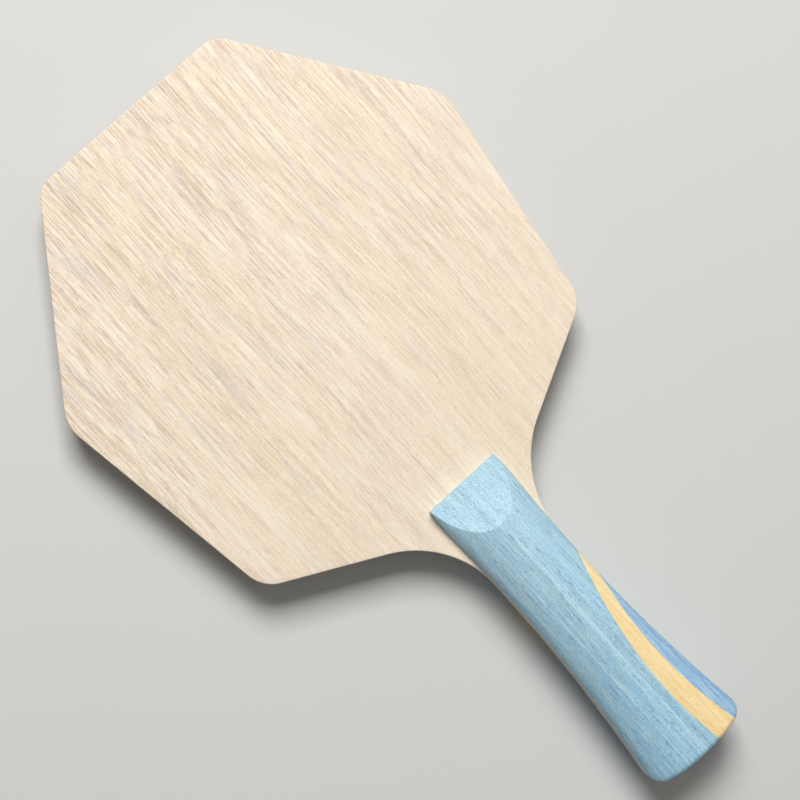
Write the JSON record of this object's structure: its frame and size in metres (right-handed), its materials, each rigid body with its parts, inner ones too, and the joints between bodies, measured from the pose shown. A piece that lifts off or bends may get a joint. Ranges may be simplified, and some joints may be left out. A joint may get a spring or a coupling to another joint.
{
  "type": "table tennis blade",
  "caption": "Bare table tennis blade with a flat-sided polygonal head of thin glued plies and a flared dyed-wood handle with a curved inlaid stripe.",
  "frame": {"origin": "under the middle of the blade's length and width, at the height of the back scale's crown, so the blade rests on z = 0", "axes": "+Y from the handle's end towards the head's top edge, +Z out of the front face, +X to the right as the front is seen with the head up"},
  "size_m": [0.1508, 0.2584, 0.0238],
  "materials": {
    "face_wood": "matte",
    "inner_wood": "matte",
    "core_wood": "matte",
    "fibre_cloth": "matte",
    "grip_blue": "satin",
    "grip_yellow": "satin",
    "edge_blue": "satin"
  },
  "bodies": {
    "root": {"core_ply": "core_wood", "front_inner_ply": "inner_wood", "front_fibre_ply": "fibre_cloth", "front_face_ply": "face_wood", "back_inner_ply": "inner_wood", "back_fibre_ply": "fibre_cloth", "back_face_ply": "face_wood", "front_scale_body": "grip_blue", "front_scale_stripe": "grip_yellow", "front_scale_edge": "edge_blue", "back_scale_body": "grip_blue", "back_scale_stripe": "grip_yellow", "back_scale_edge": "edge_blue"}
  },
  "joints": []
}
